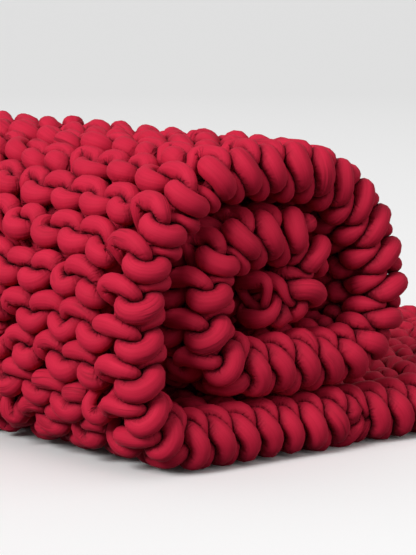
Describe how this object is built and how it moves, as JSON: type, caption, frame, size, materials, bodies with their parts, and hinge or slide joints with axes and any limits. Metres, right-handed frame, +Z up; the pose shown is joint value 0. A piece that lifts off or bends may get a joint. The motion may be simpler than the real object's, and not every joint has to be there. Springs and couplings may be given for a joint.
{
  "type": "rolled chunky knit weighted blanket",
  "caption": "Chunky garter-stitch weighted blanket in stuffed cotton tube yarn, rolled up from one end, with its free end lying flat.",
  "frame": {"origin": "middle of the base, on the surface that the blanket lies on", "axes": "+Z up; +Y along the roll, away from the end that shows the winding best; +X across the roll, towards the free end that lies flat"},
  "size_m": [0.8196, 1.032, 0.327],
  "materials": {
    "cotton_tube_yarn": "matte cotton jersey tube, knitted, deep red"
  },
  "bodies": {
    "root": {"rolled_blanket": "cotton_tube_yarn"}
  },
  "joints": []
}
